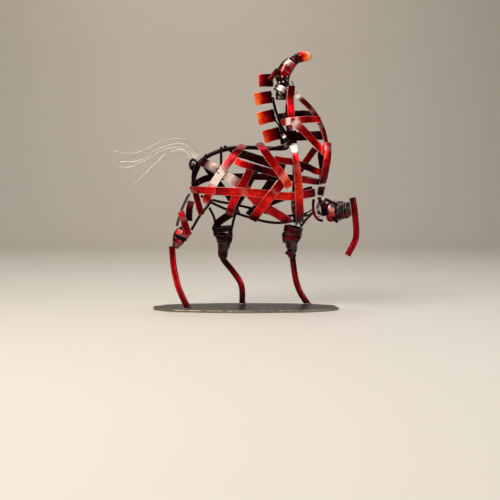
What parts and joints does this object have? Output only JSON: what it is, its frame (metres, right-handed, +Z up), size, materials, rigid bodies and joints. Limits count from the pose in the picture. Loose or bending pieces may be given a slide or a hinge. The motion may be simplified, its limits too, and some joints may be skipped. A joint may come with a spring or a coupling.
{
  "type": "metal horse sculpture",
  "caption": "Standing horse with one foreleg raised, welded as an open cage of lacquered steel strip and bar on a flat oval steel plate; wire tail, plate tabs for a mane.",
  "frame": {"origin": "middle of the base plate's underside", "axes": "+Z up, +X towards the horse's head, -Y out of its right flank"},
  "size_m": [0.4277, 0.1225, 0.4544],
  "materials": {
    "red_lacquer": "clear red candy lacquer over burnished steel, glossy",
    "dark_lacquer": "near-black maroon lacquer, glossy",
    "orange_lacquer": "orange lacquer that shades to red and near black, glossy",
    "bare_steel": "bare bright wire",
    "gunmetal_plate": "dark brushed plate with a hand-cut rim"
  },
  "bodies": {
    "root": {"base_plate": "gunmetal_plate", "tail_wires": "bare_steel", "muzzle": "orange_lacquer", "mane_tab_1": "orange_lacquer", "mane_tab_2": "orange_lacquer", "mane_tab_3": "orange_lacquer", "mane_tab_4": "orange_lacquer", "near_rump_to_elbow_strip": "red_lacquer", "near_loin_strip": "red_lacquer", "near_belt_rear": "red_lacquer", "near_belt_front": "red_lacquer", "near_flank_strip": "red_lacquer", "near_girth_strip": "red_lacquer", "near_middle_strip": "red_lacquer", "near_withers_strip": "red_lacquer", "near_rib_strip": "red_lacquer", "near_shoulder_strip": "red_lacquer", "near_chest_upper_band": "red_lacquer", "near_chest_lower_band": "red_lacquer", "neck_side_strip": "red_lacquer", "neck_upper_band": "red_lacquer", "neck_diagonal_strip": "red_lacquer", "chest_front_strip": "red_lacquer", "neck_front_strip": "red_lacquer", "near_hind_leg": "red_lacquer", "raised_shin": "red_lacquer", "near_hock_sleeve": "red_lacquer", "head_shell": "red_lacquer", "near_thigh_front_strip": "red_lacquer", "near_ear": "red_lacquer", "far_ear": "red_lacquer", "far_back_panel": "dark_lacquer", "far_middle_strip": "dark_lacquer", "far_girth_strip": "dark_lacquer", "far_belt": "dark_lacquer", "far_flank_strip": "dark_lacquer", "far_elbow_strip": "dark_lacquer", "far_shoulder_strip": "dark_lacquer", "far_chest_strip": "dark_lacquer", "far_chest_front_strip": "dark_lacquer", "far_neck_side_strip": "dark_lacquer", "far_neck_upper_band": "dark_lacquer", "far_neck_lower_band": "dark_lacquer", "spine_bar": "dark_lacquer", "near_belly_rod": "dark_lacquer", "far_belly_rod": "dark_lacquer", "crest_rod": "dark_lacquer", "far_hind_leg": "dark_lacquer", "far_fore_leg": "dark_lacquer", "far_hock_sleeve": "dark_lacquer", "far_knee_sleeve": "dark_lacquer", "raised_forearm_sleeve": "dark_lacquer", "raised_upper_arm_strip": "dark_lacquer", "near_thigh_back_strip": "dark_lacquer", "near_thigh_inner_strip": "dark_lacquer", "near_thigh_rod": "dark_lacquer", "elbow_rods": "dark_lacquer", "neck_top_hoop": "dark_lacquer", "throat_collar": "dark_lacquer"}
  },
  "joints": []
}
